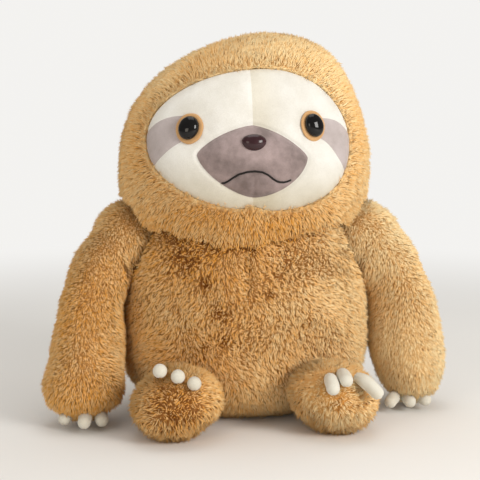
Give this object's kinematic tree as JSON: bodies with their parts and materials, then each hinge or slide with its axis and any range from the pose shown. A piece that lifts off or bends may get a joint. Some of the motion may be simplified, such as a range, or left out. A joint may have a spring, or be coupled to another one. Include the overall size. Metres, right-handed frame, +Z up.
{
  "type": "plush sloth",
  "caption": "Large stuffed plush sloth that sits upright, with a shaggy tan coat, a pieced velour face, long hanging arms, short legs and stuffed claws",
  "frame": {"origin": "on the floor, under the middle of the body", "axes": "+Z up, -Y to the toy's front, where it faces, and +X to its own left, which is on the right of someone who looks at its face"},
  "size_m": [0.6595, 0.4261, 0.613],
  "materials": {
    "fur": "tan long-pile plush, clumped",
    "cream_velour": "cream short-pile plush",
    "grey_velour": "mauve-grey velour",
    "claw_cloth": "ivory smooth-knit cloth",
    "tan_felt": "tan felt",
    "eye_plastic": "polished black",
    "nose_plastic": "glossy dark brown",
    "washer_plastic": "white lock washers",
    "thread": "black embroidery thread",
    "stuffing": "white polyester fibre filling"
  },
  "bodies": {
    "torso": {"body_skin": "fur", "body_filling": "stuffing", "head_skin": "fur", "head_filling": "stuffing", "face_cream_left": "cream_velour", "eye_band_left": "grey_velour", "eye_ring_left": "tan_felt", "eye_left": "eye_plastic", "eye_washer_left": "washer_plastic", "face_cream_right": "cream_velour", "eye_band_right": "grey_velour", "eye_ring_right": "tan_felt", "eye_right": "eye_plastic", "eye_washer_right": "washer_plastic", "muzzle": "grey_velour", "mouth_stitch": "thread", "nose": "nose_plastic", "nose_washer": "washer_plastic", "leg_skin_left": "fur", "leg_filling_left": "stuffing", "foot_claw_left_inner": "claw_cloth", "foot_claw_left_middle": "claw_cloth", "foot_claw_left_outer": "claw_cloth", "leg_skin_right": "fur", "leg_filling_right": "stuffing", "foot_claw_right_inner": "claw_cloth", "foot_claw_right_middle": "claw_cloth", "foot_claw_right_outer": "claw_cloth"},
    "arm_left": {"arm_skin_left": "fur", "arm_filling_left": "stuffing", "hand_claw_left_inner": "claw_cloth", "hand_claw_left_middle": "claw_cloth", "hand_claw_left_outer": "claw_cloth"},
    "arm_right": {"arm_skin_right": "fur", "arm_filling_right": "stuffing", "hand_claw_right_inner": "claw_cloth", "hand_claw_right_middle": "claw_cloth", "hand_claw_right_outer": "claw_cloth"}
  },
  "joints": [
    {"name": "shoulder_left", "type": "hinge", "parent": "torso", "child": "arm_left", "pos_m": [-0.185, -0.01, 0.282], "axis": [-1, 0, 0], "range_deg": [-2, 60], "stiffness_Nm_per_rad": 1.5, "springref_deg": 5.73},
    {"name": "shoulder_right", "type": "hinge", "parent": "torso", "child": "arm_right", "pos_m": [0.185, -0.01, 0.282], "axis": [-1, 0, 0], "range_deg": [-4, 75], "stiffness_Nm_per_rad": 1.5, "springref_deg": 2.86}
  ]
}
